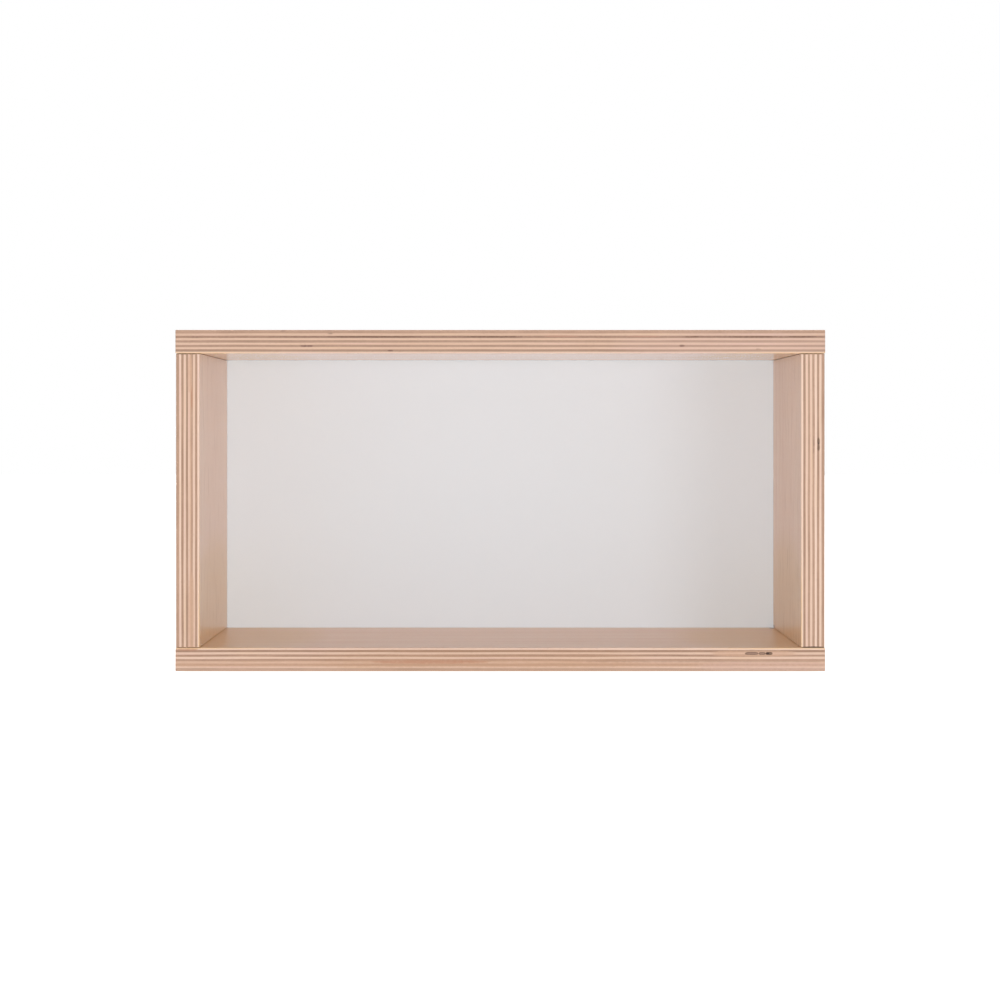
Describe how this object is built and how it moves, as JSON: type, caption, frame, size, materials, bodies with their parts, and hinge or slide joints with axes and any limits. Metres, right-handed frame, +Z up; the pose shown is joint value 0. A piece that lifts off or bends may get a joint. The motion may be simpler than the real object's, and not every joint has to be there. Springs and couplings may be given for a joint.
{
  "type": "box shelf",
  "caption": "Small open-front box shelf of plywood boards with bare ply edges and a white back panel, hung on the wall by hidden keyhole plates.",
  "frame": {"origin": "middle of the underside of the bottom panel", "axes": "+X to the right seen from the open front, +Y from the open front to the wall, +Z up"},
  "size_m": [0.415, 0.2, 0.218],
  "materials": {
    "plywood": "clear satin lacquer over beech-faced plywood, bare ply edges",
    "white_facing": "satin white facing on a thin wood-based panel",
    "dowel_wood": "raw fluted beech",
    "zinc_steel": "bright zinc plate"
  },
  "bodies": {
    "root": {"top_panel": "plywood", "bottom_panel": "plywood", "left_side": "plywood", "right_side": "plywood", "hanging_rail": "plywood", "back_panel": "white_facing", "dowel_top_left_1": "dowel_wood", "dowel_top_left_2": "dowel_wood", "dowel_top_left_3": "dowel_wood", "dowel_bottom_left_1": "dowel_wood", "dowel_bottom_left_2": "dowel_wood", "dowel_bottom_left_3": "dowel_wood", "dowel_top_right_1": "dowel_wood", "dowel_top_right_2": "dowel_wood", "dowel_top_right_3": "dowel_wood", "dowel_bottom_right_1": "dowel_wood", "dowel_bottom_right_2": "dowel_wood", "dowel_bottom_right_3": "dowel_wood", "rail_dowel_left_upper": "dowel_wood", "rail_dowel_left_lower": "dowel_wood", "rail_dowel_right_upper": "dowel_wood", "rail_dowel_right_lower": "dowel_wood", "left_hanger_plate": "zinc_steel", "right_hanger_plate": "zinc_steel", "left_hanger_screw_outer": "zinc_steel", "left_hanger_screw_inner": "zinc_steel", "right_hanger_screw_outer": "zinc_steel", "right_hanger_screw_inner": "zinc_steel"}
  },
  "joints": []
}
